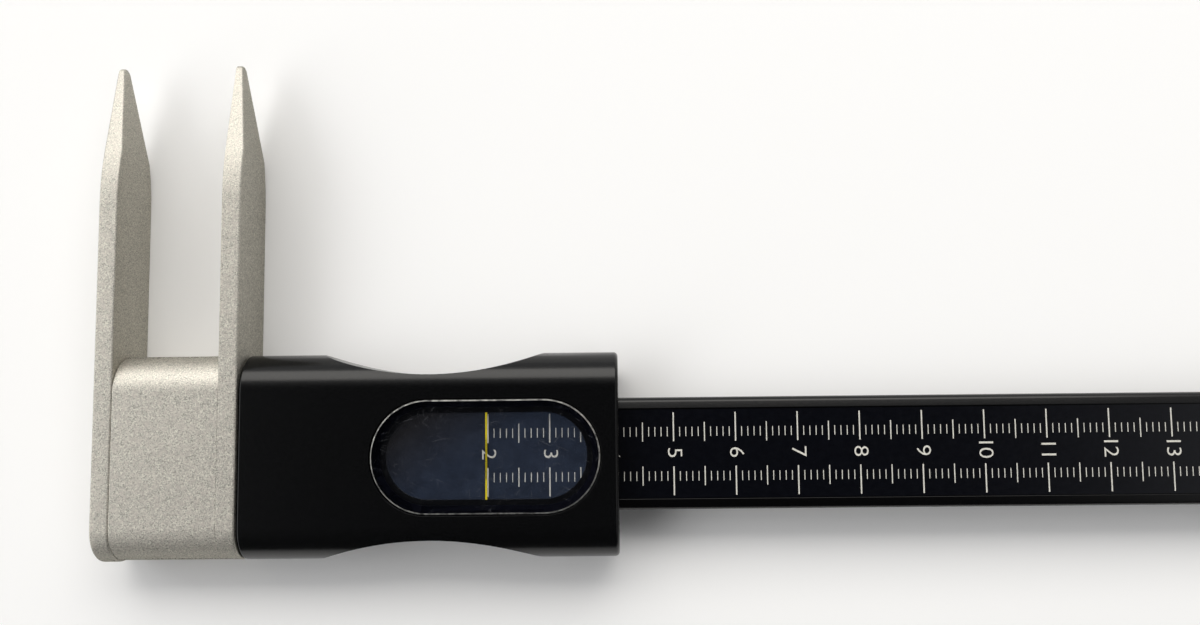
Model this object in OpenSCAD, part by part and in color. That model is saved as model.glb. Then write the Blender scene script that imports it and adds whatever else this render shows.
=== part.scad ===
// Sliding caliper for body lengths: a flat beam carries a fixed pointed blade on a head block
// and a slider with a matching blade, a clear window and a friction brake.
// X runs along the beam, Y points from the beam to the blade tips, and Z comes out of the scale face.
// The origin is on the outer face of the fixed blade, at the middle of the beam's section.

/* [Head and slider section] */
// Height of the head block, the slider and the feet of the blades
body_h = 33; // [31:0.5:40]
// Thickness of the same parts, whose long edges are full rounds
body_t = 11.5; // [11:0.1:13]

/* [Beam] */
// Height of the beam
beam_h = 18; // [17:0.5:19]
// Thickness of the beam
beam_t = 5; // [4.5:0.1:5.4]
// Radius of the beam's long edges
beam_edge_r = 1.6; // [0.8:0.1:2]
// Width of each raised rim beside the recess for the scale
beam_rim_w = 1.8; // [1.5:0.1:2.1]
// Depth of the recess for the scale
recess_depth = 0.35; // [0.25:0.05:0.6]

/* [Travel and scale] */
// Travel of the slider, which takes the reading from 2 cm to 60 cm
travel = 580; // [100:10:800]
// Thickness of the printed scale strip
strip_t = 0.2; // [0.1:0.05:0.3]
// Gap between the strip and each side of its recess
strip_gap = 0.1; // [0.05:0.05:0.3]
// Gap between the strip and the head block or the end cap
strip_end_gap = 0.5; // [0.2:0.1:2]

/* [Head block] */
// Length of the head block, which is the gap between the closed blades
head_len = 17; // [15:0.5:25]
// Gap all round the beam in the head block and in the end cap
seat_gap = 0.1; // [0.05:0.05:0.2]
// Diameter of the dowels through the head block and the beam
dowel_d = 3; // [2:0.5:4]
// Distance between the two dowels
dowel_pitch = 11; // [9:0.5:12]
// Depth of the dowel holes in the front wall of the head block
dowel_bite = 1.5; // [1:0.1:2]
// Depth of the dowels below the back face
dowel_sink = 0.2; // [0:0.1:0.5]
// Distance between the two grub screws that clamp the beam
clamp_pitch = 10; // [8:0.5:11]

/* [Blades] */
// Thickness of each blade
blade_t = 3; // [2.5:0.1:4]
// Height of the moving blade's tip above the beam's centreline
blade_reach = 65.7; // [55:0.1:90]
// Length of the tapered end of each blade
taper_len = 24; // [21:0.5:26]
// Angle of each edge of the taper, in degrees
taper_angle = 14; // [12:0.5:15]
// Radius where the parallel edge turns into the taper
taper_r = 37; // [25:1:50]
// Length of the bevel on the blade's inner or slider face
bevel_len = 15.5; // [10:0.5:18]
// Thickness of the blade at its tip
tip_t = 1; // [0.6:0.1:1.6]
// Gap all round the beam in the foot of the moving blade
blade_gap = 0.3; // [0.2:0.05:0.5]
// Distance by which the fixed blade sits lower than the moving blade
blade_drop = 0.25; // [0:0.05:1]

/* [Slider] */
// Length of the slider housing
slider_len = 60.8; // [58:0.2:80]
// Distance from the reading line to the slider's free end
window_inset = 21.2; // [19:0.2:24]
// Distance from the middle of the finger scallops to the slider's free end
scallop_inset = 30.2; // [28:0.1:32]
// Radius of the finger scallops
scallop_r = 50; // [40:1:60]
// Depth of the finger scallops
scallop_depth = 3.4; // [2:0.1:3.6]

/* [Window] */
// Length of the lens
lens_l = 36.5; // [33:0.5:38]
// Height of the lens
lens_h = 18; // [16.5:0.5:20]
// Thickness of the lens
lens_t = 1.8; // [1.5:0.1:1.9]
// Gap between the lens and its pocket
lens_gap = 0.25; // [0.1:0.05:0.4]
// Depth of the lens below the front face
lens_sink = 0.05; // [0:0.05:0.15]
// Width of the ledge that the lens rests on
ledge_w = 2.1; // [1.6:0.1:2.4]
// Thickness of the adhesive ring under the lens
seal_t = 0.15; // [0.05:0.05:0.2]
// Width of the adhesive ring
seal_w = 1.2; // [0.8:0.1:1.5]
// Width of the reading line
cursor_w = 0.3; // [0.2:0.05:0.6]
// Thickness of the reading line under the lens
cursor_t = 0.1; // [0.05:0.05:0.2]

/* [Glides and brake] */
// Running gap between the beam and the liners or the brake pad
run_gap = 0.1; // [0.05:0.01:0.12]
// Wall of the two channel-shaped liners
liner_t = 0.5; // [0.4:0.05:0.6]
// Width of the liner lips over the rims of the beam
lip_w = 1.6; // [1:0.1:2]
// Diameter of the pegs that hold the upper liner
peg_d = 2; // [1.5:0.1:3]
// Height of the pegs
peg_h = 1; // [0.6:0.1:1.5]
// Distance from each end of the slider to a peg
peg_inset = 10; // [6:0.5:14]
// Distance from the blade screws to the groove that holds the brake spring
groove_start_wall = 1.6; // [1.2:0.1:4]
// Distance from that groove to the slider's free end
groove_end_wall = 8.2; // [6:0.1:12]
// Width of the groove
groove_w = 4; // [3:0.1:5]
// Depth of the groove
groove_d = 1.2; // [1:0.1:1.5]
// Length of the locating nibs on the lower liner
nib_l = 1.5; // [1:0.1:1.9]
// Length by which the brake spring is shorter than its groove
spring_room = 4; // [4:0.5:8]
// Thickness of the brake spring
spring_t = 0.3; // [0.2:0.05:0.4]
// Length of the brake pad
pad_l = 8; // [6:0.5:12]
// Height of the brake pad past the lower liner
pad_proud = 0.2; // [0.1:0.05:0.3]
// Gap round the spring, the pad and the nibs
brake_gap = 0.1; // [0.05:0.05:0.2]
// Distance from each end of the spring to a tension screw
tension_inset = 2.5; // [2:0.1:4]

/* [End cap] */
// Length of the end cap
cap_len = 9; // [8:0.5:14]
// Height of the end cap
cap_h = 24; // [23:0.5:30]
// Thickness of the cap's end wall
cap_wall = 2; // [2:0.1:3]
// Gap between the slider and the cap at the end of the travel
end_gap = 1; // [0.5:0.1:3]
// Distance between the two cap screws
cap_pitch = 10; // [8:0.5:11]

/* [Fasteners] */
// Diameter of the countersunk screws
screw_d = 2.5; // [2:0.1:3]
// Diameter of their heads
screw_head_d = 4.7; // [4:0.1:5]
// Length of the countersunk screws over all
screw_len = 10; // [8:0.5:11]
// Width of the hexagon sockets of the countersunk screws
screw_socket = 1.5; // [1:0.1:2]
// Distance from the edge of the section to the screws of a blade
screw_inset = 3.8; // [3.6:0.1:4]
// Depth of the screw heads below the face
head_sink = 0.1; // [0:0.05:0.3]
// Diameter of the grub screws
grub_d = 3; // [2:0.1:3.5]
// Length of the tension screws
tension_len = 4.5; // [3:0.1:5]
// Width of the hexagon sockets of the grub screws
grub_socket = 1.5; // [1:0.1:1.8]
// Depth of all the hexagon sockets
socket_depth = 0.9; // [0.6:0.1:1.2]
// Depth of the clamp screws below the back face
clamp_sink = 0.3; // [0:0.1:0.6]

/* [Hidden] */

$fn = 96;
LARGE_ARC_FN = 360;
SPRING_ARC_FN = 1440;
ARC_STEPS = 8;
CUT = 1;

// Places along the beam
head_x = blade_t;
moving_x = head_x + head_len;
slider_x = moving_x + blade_t;
slider_end = slider_x + slider_len;
cap_x = slider_end + travel + end_gap;
cap_end = cap_x + cap_len;
beam_end = cap_end - cap_wall;
window_x = slider_end - window_inset;
scallop_x = slider_end - scallop_inset;

// Sections
recess_w = beam_h - 2 * beam_rim_w;
head_slot_h = beam_h + 2 * seat_gap;
head_slot_t = beam_t + 2 * seat_gap;
blade_slot_h = beam_h + 2 * blade_gap;
blade_slot_t = beam_t + 2 * blade_gap;
slot_h = beam_h + 2 * (run_gap + liner_t);
slot_t = beam_t + 2 * (run_gap + liner_t);
screw_y = body_h / 2 - screw_inset;

// Blade outline
taper_y = blade_reach - taper_len;
turn_y = taper_y + taper_r * sin(taper_angle);
turn_z = body_t / 2 - taper_r * (1 - cos(taper_angle));
tip_z = turn_z - (blade_reach - turn_y) * tan(taper_angle);
tip_r = tip_z * cos(taper_angle) / (1 - sin(taper_angle));

// Points along the arc from the parallel edge of a blade to its taper
function blend_points() = [
    for (i = [ARC_STEPS:-1:0])
        let (a = taper_angle * i / ARC_STEPS)
        [taper_y + taper_r * sin(a), body_t / 2 - taper_r * (1 - cos(a))]
];

// Points round the upper half of a blade's tip
function tip_points() = [
    for (i = [0:ARC_STEPS])
        let (a = (90 - taper_angle) * i / ARC_STEPS)
        [blade_reach - tip_r * (1 - cos(a)), tip_r * sin(a)]
];

// Window stack, from the front face inwards
lens_top = body_t / 2 - lens_sink;
lens_bottom = lens_top - lens_t;
ledge_top = lens_bottom - seal_t;
opening_l = lens_l - 2 * ledge_w;
opening_h = lens_h - 2 * ledge_w;

// Brake stack, along the slider and then from the beam's lower edge outwards
groove_start = moving_x + screw_len + groove_start_wall;
groove_end = slider_end - groove_end_wall;
groove_l = groove_end - groove_start;
brake_x = (groove_start + groove_end) / 2;
spring_l = groove_l - spring_room;
groove_top = -slot_h / 2;
groove_floor = groove_top - groove_d;
pad_bottom = groove_top - pad_proud;
spring_rise = groove_d - pad_proud - spring_t;
spring_r = (spring_l * spring_l / 4 + spring_rise * spring_rise) / (2 * spring_rise);
spring_w = groove_w - 2 * brake_gap;
tension_pitch = spring_l - 2 * tension_inset;

// Fastener details
screw_head_h = (screw_head_d - screw_d) / 2;
dowel_top = head_slot_t / 2 + dowel_bite;

BEAM_BLACK = "#17181a";
STRIP_BLACK = "#101218";
SILVER = "#b9b6ae";
HOUSING_BLACK = "#1c1d1e";
STEEL = "#8b8d90";
DARK_STEEL = "#3a3b3d";
CLEAR = "#c8d4de";
YELLOW = "#c2a81c";
GLIDE_BLACK = "#26272a";
SPRING_STEEL = "#9a948a";

// Sends a flat outline in Y and Z along X
module along_x(length) {
    rotate([90, 0, 90])
        linear_extrude(height = length)
            children();
}

// Flat section with full-round long edges
module full_round_section(h, t) {
    square([h - t, t], center = true);
    for (side = [-1, 1])
        translate([side * (h - t) / 2, 0])
            circle(d = t);
}

// Flat section with four rounded corners
module rounded_section(h, t, r) {
    square([h, t - 2 * r], center = true);
    square([h - 2 * r, t], center = true);
    for (a = [-1, 1])
        for (b = [-1, 1])
            translate([a * (h / 2 - r), b * (t / 2 - r)])
                circle(r = r);
}

// Slot with round ends, centred on the window and standing on z
module stadium(length, height, z, depth) {
    translate([window_x, 0, z])
        linear_extrude(height = depth)
            full_round_section(length, height);
}

// Block in the groove or slot, centred on the brake
module groove_block(length, width, y_low, y_high) {
    translate([brake_x - length / 2, y_low, -width / 2])
        cube([length, y_high - y_low, width]);
}

// Countersunk screw whose head is at the origin and whose tip points to +X
module countersunk_screw() {
    difference() {
        translate([head_sink, 0, 0])
            rotate([0, 90, 0])
                union() {
                    cylinder(h = screw_head_h, d1 = screw_head_d, d2 = screw_d);
                    cylinder(h = screw_len, d = screw_d);
                }
        rotate([0, 90, 0])
            cylinder(h = head_sink + socket_depth, d = screw_socket / cos(30), $fn = 6);
    }
}

// Hole for that screw, with a little room past its tip
module countersunk_hole() {
    rotate([0, 90, 0])
        cylinder(h = screw_len + 2 * head_sink + CUT, d = screw_d);
    translate([head_sink, 0, 0])
        rotate([0, 90, 0])
            cylinder(h = screw_head_h, d1 = screw_head_d, d2 = screw_d);
    translate([-CUT, 0, 0])
        rotate([0, 90, 0])
            cylinder(h = CUT + head_sink, d = screw_head_d);
}

// Places both screws of a blade
module at_blade_screws(x) {
    for (side = [-1, 1])
        translate([x, side * screw_y, 0])
            children();
}

// Places both screws of the end cap, pointing back along the beam
module at_cap_screws() {
    for (side = [-1, 1])
        translate([cap_end, side * cap_pitch / 2, 0])
            mirror([1, 0, 0])
                children();
}

// Places both dowels of the head block
module at_dowels() {
    for (side = [-1, 1])
        translate([head_x + head_len / 2, side * dowel_pitch / 2, 0])
            children();
}

// Places both clamp screws of the head block
module at_clamps() {
    for (side = [-1, 1])
        translate([head_x + head_len / 2 + side * clamp_pitch / 2, 0, 0])
            children();
}

// Places both tension screws under the ends of the brake spring
module at_tension_screws() {
    for (side = [-1, 1])
        translate([brake_x + side * tension_pitch / 2, 0, 0])
            children();
}

// Places both pegs of the upper liner
module at_pegs() {
    for (x = [slider_x + peg_inset, slider_end - peg_inset])
        translate([x, slot_h / 2, 0])
            rotate([-90, 0, 0])
                children();
}

// Side outline of a blade in Y and Z: round foot, parallel shank, blended taper and round tip
module blade_side() {
    foot_y = -(body_h - body_t) / 2;
    upper = concat(tip_points(), blend_points());
    lower = [for (i = [len(upper) - 1:-1:1]) [upper[i][0], -upper[i][1]]];
    translate([foot_y, 0])
        circle(d = body_t);
    translate([foot_y, -body_t / 2])
        square([taper_y - foot_y, body_t]);
    polygon(concat(lower, upper));
}

// Plain blade from x to x + blade_t, bevelled towards its tip on the +X face and lowered by drop
module blade(x, drop) {
    bevel_y = blade_reach - bevel_len;
    lean = (blade_t - tip_t) / bevel_len;
    past = 2 * CUT;
    translate([x, -drop, 0])
        difference() {
            along_x(blade_t)
                blade_side();
            translate([0, 0, -body_t])
                linear_extrude(height = 2 * body_t)
                    polygon([
                        [blade_t + past * lean, bevel_y - past], [tip_t - past * lean, blade_reach + past],
                        [blade_t + past, blade_reach + past], [blade_t + past, bevel_y - past]
                    ]);
        }
}

// Channel that wraps one edge of the beam; side is 1 for the upper edge and -1 for the lower one
module liner_channel(side) {
    mirror([0, side < 0 ? 1 : 0, 0])
        difference() {
            translate([slider_x, beam_h / 2 - lip_w, -slot_t / 2])
                cube([slider_len, lip_w + run_gap + liner_t, slot_t]);
            translate([slider_x - CUT, 0, -beam_t / 2 - run_gap])
                cube([slider_len + 2 * CUT, beam_h / 2 + run_gap, beam_t + 2 * run_gap]);
        }
}

module beam() {
    color(BEAM_BLACK)
        difference() {
            translate([head_x, 0, 0])
                along_x(beam_end - head_x)
                    rounded_section(beam_h, beam_t, beam_edge_r);
            translate([head_x - CUT, -recess_w / 2, beam_t / 2 - recess_depth])
                cube([beam_end - head_x + 2 * CUT, recess_w, recess_depth + CUT]);
            at_dowels()
                cylinder(h = beam_t + 2 * CUT, d = dowel_d, center = true);
            at_cap_screws()
                countersunk_hole();
        }
}

module scale_strip() {
    strip_x = moving_x + strip_end_gap;
    strip_w = recess_w - 2 * strip_gap;
    color(STRIP_BLACK)
        translate([strip_x, -strip_w / 2, beam_t / 2 - recess_depth])
            cube([cap_x - strip_end_gap - strip_x, strip_w, strip_t]);
}

module head_block() {
    color(SILVER)
        difference() {
            translate([head_x, 0, 0])
                along_x(head_len)
                    full_round_section(body_h, body_t);
            translate([head_x - CUT, -head_slot_h / 2, -head_slot_t / 2])
                cube([head_len + 2 * CUT, head_slot_h, head_slot_t]);
            at_blade_screws(0)
                countersunk_hole();
            at_dowels()
                translate([0, 0, -body_t])
                    cylinder(h = body_t + dowel_top, d = dowel_d);
            at_clamps()
                translate([0, 0, -body_t])
                    cylinder(h = body_t, d = grub_d);
        }
}

module fixed_blade() {
    color(SILVER)
        difference() {
            blade(0, blade_drop);
            at_blade_screws(0)
                countersunk_hole();
        }
}

module fixed_blade_screws() {
    color(STEEL)
        at_blade_screws(0)
            countersunk_screw();
}

module head_dowels() {
    color(STEEL)
        at_dowels()
            translate([0, 0, dowel_sink - body_t / 2])
                cylinder(h = body_t / 2 - dowel_sink + dowel_top, d = dowel_d);
}

module head_clamp_screws() {
    clamp_len = (body_t - beam_t) / 2 - clamp_sink;
    color(DARK_STEEL)
        at_clamps()
            translate([0, 0, clamp_sink - body_t / 2])
                difference() {
                    cylinder(h = clamp_len, d = grub_d);
                    translate([0, 0, -CUT])
                        cylinder(h = CUT + socket_depth, d = grub_socket / cos(30), $fn = 6);
                }
}

module end_cap() {
    color(HOUSING_BLACK)
        difference() {
            translate([cap_x, 0, 0])
                along_x(cap_len)
                    full_round_section(cap_h, body_t);
            translate([cap_x - CUT, -head_slot_h / 2, -head_slot_t / 2])
                cube([cap_len - cap_wall + CUT, head_slot_h, head_slot_t]);
            at_cap_screws()
                countersunk_hole();
        }
}

module end_cap_screws() {
    color(DARK_STEEL)
        at_cap_screws()
            countersunk_screw();
}

module slider_housing() {
    color(HOUSING_BLACK)
        difference() {
            translate([slider_x, 0, 0])
                along_x(slider_len)
                    full_round_section(body_h, body_t);
            translate([slider_x - CUT, -slot_h / 2, -slot_t / 2])
                cube([slider_len + 2 * CUT, slot_h, slot_t]);
            for (side = [-1, 1])
                translate([scallop_x, side * (body_h / 2 - scallop_depth + scallop_r), 0])
                    cylinder(h = body_t + 2 * CUT, r = scallop_r, center = true, $fn = LARGE_ARC_FN);
            stadium(lens_l + 2 * lens_gap, lens_h + 2 * lens_gap, ledge_top, body_t);
            stadium(opening_l, opening_h, 0, body_t);
            groove_block(groove_l, groove_w, groove_floor, 0);
            at_tension_screws()
                rotate([90, 0, 0])
                    cylinder(h = body_h, d = grub_d);
            at_blade_screws(moving_x)
                countersunk_hole();
            at_pegs()
                translate([0, 0, -CUT])
                    cylinder(h = CUT + peg_h + brake_gap, d = peg_d);
        }
}

module moving_blade() {
    color(SILVER)
        difference() {
            blade(moving_x, 0);
            translate([moving_x - CUT, -blade_slot_h / 2, -blade_slot_t / 2])
                cube([blade_t + 2 * CUT, blade_slot_h, blade_slot_t]);
            at_blade_screws(moving_x)
                countersunk_hole();
        }
}

module moving_blade_screws() {
    color(STEEL)
        at_blade_screws(moving_x)
            countersunk_screw();
}

module window_lens() {
    color(CLEAR, 0.4)
        stadium(lens_l, lens_h, lens_bottom, lens_t);
}

module lens_seal() {
    color(HOUSING_BLACK)
        difference() {
            stadium(lens_l, lens_h, ledge_top, seal_t);
            stadium(lens_l - 2 * seal_w, lens_h - 2 * seal_w, ledge_top - CUT, seal_t + 2 * CUT);
        }
}

module cursor_line() {
    color(YELLOW)
        translate([window_x - cursor_w / 2, -opening_h / 2, lens_bottom - cursor_t])
            cube([cursor_w, opening_h, cursor_t]);
}

module upper_liner() {
    color(GLIDE_BLACK)
        union() {
            liner_channel(1);
            at_pegs()
                cylinder(h = peg_h, d = peg_d);
        }
}

module lower_liner() {
    nib_y = groove_floor + brake_gap;
    color(GLIDE_BLACK)
        union() {
            difference() {
                liner_channel(-1);
                groove_block(pad_l + 2 * brake_gap, groove_w, groove_top - CUT, 0);
            }
            for (x = [groove_start + brake_gap, groove_end - brake_gap - nib_l])
                translate([x, nib_y, -spring_w / 2])
                    cube([nib_l, groove_top - nib_y, spring_w]);
        }
}

module brake_spring() {
    color(SPRING_STEEL)
        translate([brake_x, groove_floor + spring_rise - spring_r, -spring_w / 2])
            linear_extrude(height = spring_w)
                intersection() {
                    difference() {
                        circle(r = spring_r + spring_t, $fn = SPRING_ARC_FN);
                        circle(r = spring_r, $fn = SPRING_ARC_FN);
                    }
                    translate([-spring_l / 2, 0])
                        square([spring_l, 2 * spring_r]);
                }
}

module brake_pad() {
    color(GLIDE_BLACK)
        groove_block(pad_l, spring_w, pad_bottom, -beam_h / 2 - run_gap);
}

module tension_screws() {
    color(DARK_STEEL)
        at_tension_screws()
            translate([0, groove_floor, 0])
                rotate([90, 0, 0])
                    difference() {
                        cylinder(h = tension_len, d = grub_d);
                        translate([0, 0, tension_len - socket_depth])
                            cylinder(h = socket_depth + CUT, d = grub_socket / cos(30), $fn = 6);
                    }
}

beam();
scale_strip();
head_block();
fixed_blade();
fixed_blade_screws();
head_dowels();
head_clamp_screws();
end_cap();
end_cap_screws();
slider_housing();
moving_blade();
moving_blade_screws();
window_lens();
lens_seal();
cursor_line();
upper_liner();
lower_liner();
brake_spring();
brake_pad();
tension_screws();
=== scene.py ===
"""Looks of the sliding caliper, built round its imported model.

The sub-assemblies are written in millimetres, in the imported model's frame: X along the beam,
Y towards the blade tips and Z out of the scale face. Every mesh is scaled to metres when it
becomes an object.
"""

import logging
import math
from dataclasses import dataclass, field, replace
from enum import Enum
from typing import Callable, Optional, Sequence, Union

import bmesh
import bpy
from bmesh.types import BMEdge, BMesh, BMFace, BMVert
from bpy.types import Material, Mesh, Node, NodeSocket as Socket, NodeTree, Object
from mathutils import Matrix, Vector


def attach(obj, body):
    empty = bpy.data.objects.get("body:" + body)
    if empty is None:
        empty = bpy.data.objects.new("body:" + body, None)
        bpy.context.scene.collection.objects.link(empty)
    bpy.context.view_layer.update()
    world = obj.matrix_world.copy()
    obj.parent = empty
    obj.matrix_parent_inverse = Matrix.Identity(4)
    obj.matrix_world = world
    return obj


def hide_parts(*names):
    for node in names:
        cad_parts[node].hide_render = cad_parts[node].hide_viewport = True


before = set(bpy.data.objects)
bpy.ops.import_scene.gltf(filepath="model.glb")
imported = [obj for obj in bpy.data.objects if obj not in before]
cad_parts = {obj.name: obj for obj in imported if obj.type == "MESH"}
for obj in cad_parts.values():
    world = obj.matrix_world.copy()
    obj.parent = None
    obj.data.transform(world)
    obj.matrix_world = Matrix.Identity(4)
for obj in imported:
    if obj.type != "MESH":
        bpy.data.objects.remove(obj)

LOG = logging.getLogger("caliper")
MM = 0.001
WELD_MM = 1e-4  # points of a fresh mesh that are closer than this are one point
WELD_M = 2e-7  # the same for a finished cut, in metres
IN_PLANE_MM = 1e-3  # how far off a plane an edge still counts as lying in it
CORNER_DEGREES = 60.0  # edges that turn by more than this are corners
PAST_FACE = 1.0  # how far a cutter reaches past the face that it opens, in millimetres
EDGE_STEPS = 2  # steps of a live bevel
NORMAL_WEIGHT = 80  # above 50, so the large faces lead the shading
Colour = tuple[float, float, float]
Span = tuple[float, float]
UNIT: Span = (0.0, 1.0)
EdgeTest = Callable[[BMEdge], bool]


class Body(str, Enum):
    """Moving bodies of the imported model."""

    BEAM = "beam_assembly"
    SLIDER = "slider"


class Slot(str, Enum):
    """Material slots of the record; no piece here is given one."""

    BEAM_BLACK = "black_anodised"
    SILVER = "silver_blasted"
    HOUSING_BLACK = "housing_black"
    LENS = "clear_lens"


class Plane(Enum):
    """Where a flat outline lies and which way it is extruded."""

    ALONG_X = Matrix(((0, 0, 1, 0), (1, 0, 0, 0), (0, 1, 0, 0), (0, 0, 0, 1)))
    ALONG_Z = Matrix.Identity(4)


class Outline:
    """A flat outline that is drawn with lines and true arcs, then filled and extruded."""

    def __init__(self, u: float, v: float) -> None:
        """Puts the pen down.

        Args:
            u: First coordinate of the start, in millimetres.
            v: Second coordinate of the start.
        """
        self.bm = bmesh.new()
        self.pen = self.bm.verts.new((u, v, 0.0))

    def line(self, u: float, v: float) -> "Outline":
        """Draws a straight line.

        Args:
            u: First coordinate of the line's end.
            v: Second coordinate of the line's end.

        Returns:
            The outline, for the next stroke.
        """
        new = bmesh.ops.extrude_vert_indiv(self.bm, verts=[self.pen])["verts"][0]
        new.co = (u, v, 0.0)
        self.pen = new
        return self

    def arc(self, u: float, v: float, degrees: float, steps: int) -> "Outline":
        """Draws an arc round a centre.

        Args:
            u: First coordinate of the centre.
            v: Second coordinate of the centre.
            degrees: Turn of the arc, anticlockwise when positive.
            steps: Number of short edges in the arc.

        Returns:
            The outline, for the next stroke.
        """
        spun = bmesh.ops.spin(
            self.bm, geom=[self.pen], cent=(u, v, 0.0), axis=(0.0, 0.0, 1.0),
            angle=math.radians(degrees), steps=steps, use_merge=False,
        )
        self.pen = next(g for g in spun["geom_last"] if isinstance(g, BMVert))
        return self

    def solid(self, plane: Plane, start: float, length: float) -> BMesh:
        """Closes and fills the outline and extrudes it.

        Args:
            plane: Where the outline lies.
            start: Place of the first face along the extrusion.
            length: Length of the extrusion.

        Returns:
            The closed mesh, in millimetres.
        """
        bm = self.bm
        bmesh.ops.remove_doubles(bm, verts=bm.verts[:], dist=WELD_MM)
        loose = [vert for vert in bm.verts if len(vert.link_edges) == 1]
        if len(loose) == 2:
            bm.edges.new(loose)
        bmesh.ops.edgeloop_fill(bm, edges=bm.edges[:])
        grown = bmesh.ops.extrude_face_region(bm, geom=bm.faces[:])["geom"]
        far = [g for g in grown if isinstance(g, BMVert)]
        bmesh.ops.translate(bm, verts=far, vec=(0.0, 0.0, length))
        bmesh.ops.translate(bm, verts=bm.verts[:], vec=(0.0, 0.0, start))
        bmesh.ops.transform(bm, matrix=plane.value, verts=bm.verts[:])
        bmesh.ops.recalc_face_normals(bm, faces=bm.faces[:])
        return bm


def full_round(height: float, thickness: float, steps: int = 32) -> Outline:
    """Outline of a flat bar whose two long edges are full rounds.

    Args:
        height: Size along the first coordinate.
        thickness: Size along the second coordinate.
        steps: Number of short edges in each round.

    Returns:
        The open outline, ready for solid().
    """
    straight = (height - thickness) / 2
    half = thickness / 2
    outline = Outline(-straight, -half).line(straight, -half).arc(straight, 0.0, 180.0, steps)
    return outline.line(-straight, half).arc(-straight, 0.0, 180.0, steps)


def passage(start: float, end: float, size: tuple[float, float]) -> BMesh:
    """Cutter for a rectangular passage along X, centred on the beam.

    Args:
        start: X of its first end.
        end: X of its second end.
        size: Its height and its depth.

    Returns:
        The closed mesh, in millimetres.
    """
    bm = bmesh.new()
    middle = Matrix.Translation(((start + end) / 2, 0.0, 0.0))
    bmesh.ops.create_cube(bm, size=1.0, matrix=middle @ Matrix.Diagonal((end - start, *size, 1.0)))
    return bm


def round_bar(
    start: Sequence[float], end: Sequence[float], d_start: float, d_end: float, segments: int = 48
) -> BMesh:
    """Cylinder or cone between two points, used as a cutter.

    Args:
        start: Middle of the first end.
        end: Middle of the second end.
        d_start: Diameter at the first end.
        d_end: Diameter at the second end.
        segments: Number of sides.

    Returns:
        The closed mesh, in millimetres.
    """
    bm = bmesh.new()
    run = Vector(end) - Vector(start)
    turn = run.to_track_quat("Z", "Y").to_matrix().to_4x4()
    middle = Matrix.Translation((Vector(start) + Vector(end)) / 2)
    bmesh.ops.create_cone(
        bm, cap_ends=True, cap_tris=False, segments=segments, radius1=d_start / 2,
        radius2=d_end / 2, depth=run.length, matrix=middle @ turn,
    )
    return bm


def round_edges(bm: BMesh, width: float, segments: int, pick: EdgeTest) -> list[BMFace]:
    """Rounds or chamfers the edges that a test picks.

    Args:
        bm: Mesh to change.
        width: Width of the rounding.
        segments: Number of steps; one gives a chamfer.
        pick: Test for an edge.

    Returns:
        The new faces.
    """
    edges = [edge for edge in bm.edges if pick(edge)]
    made = bmesh.ops.bevel(
        bm, geom=edges, offset=width, offset_type="OFFSET", affect="EDGES", segments=segments,
        profile=0.5, material=-1, clamp_overlap=False, loop_slide=True,
    )
    return made["faces"]


def at_plane(axis: int, place: float) -> EdgeTest:
    """Test for edges that lie in a plane square to an axis.

    Args:
        axis: 0, 1 or 2 for X, Y or Z.
        place: Where the plane is along the axis.

    Returns:
        The test.
    """
    return lambda edge: all(abs(vert.co[axis] - place) < IN_PLANE_MM for vert in edge.verts)


def is_corner(edge: BMEdge) -> bool:
    """Test for edges that turn by more than the angle of a corner."""
    return edge.calc_face_angle(0.0) > math.radians(CORNER_DEGREES)


def new_object(name: str, bm: BMesh) -> Object:
    """Turns a mesh in millimetres into an object in metres at the origin.

    Args:
        name: Name of the piece.
        bm: Mesh, which is freed.

    Returns:
        The object, linked to the scene.
    """
    bmesh.ops.scale(bm, vec=(MM, MM, MM), verts=bm.verts[:])
    mesh = bpy.data.meshes.new(name)
    bm.to_mesh(mesh)
    bm.free()
    made = bpy.data.objects.new(name, mesh)
    bpy.context.scene.collection.objects.link(made)
    return made


def evaluated(piece: Object) -> Mesh:
    """Makes a mesh of an object as its modifiers or its text leave it.

    Args:
        piece: Object to read.

    Returns:
        The new mesh.
    """
    bpy.context.view_layer.update()
    graph = bpy.context.evaluated_depsgraph_get()
    return bpy.data.meshes.new_from_object(piece.evaluated_get(graph), depsgraph=graph)


def cut(body: Object, cutters: Sequence[BMesh]) -> None:
    """Cuts closed meshes out of an object and keeps the result as its mesh.

    Args:
        body: Object to cut.
        cutters: Meshes in millimetres, which are freed.
    """
    tools = [new_object(f"{body.name}_cutter", cutter) for cutter in cutters]
    for tool in tools:
        modifier = body.modifiers.new("cut", "BOOLEAN")
        modifier.operation = "DIFFERENCE"
        modifier.solver = "EXACT"
        modifier.object = tool
    result = evaluated(body)
    body.modifiers.clear()
    spent = body.data
    body.data = result
    result.name = body.name
    bpy.data.meshes.remove(spent)
    for tool in tools:
        data = tool.data
        bpy.data.objects.remove(tool)
        bpy.data.meshes.remove(data)
    merge(result)


def merge(mesh: Mesh) -> None:
    """Merges doubled points of a finished cut and turns its faces outwards.

    Args:
        mesh: Mesh in metres.
    """
    bm = bmesh.new()
    bm.from_mesh(mesh)
    bmesh.ops.remove_doubles(bm, verts=bm.verts[:], dist=WELD_M)
    bmesh.ops.dissolve_degenerate(bm, edges=bm.edges[:], dist=WELD_M)
    bmesh.ops.recalc_face_normals(bm, faces=bm.faces[:])
    bm.to_mesh(mesh)
    bm.free()


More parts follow.
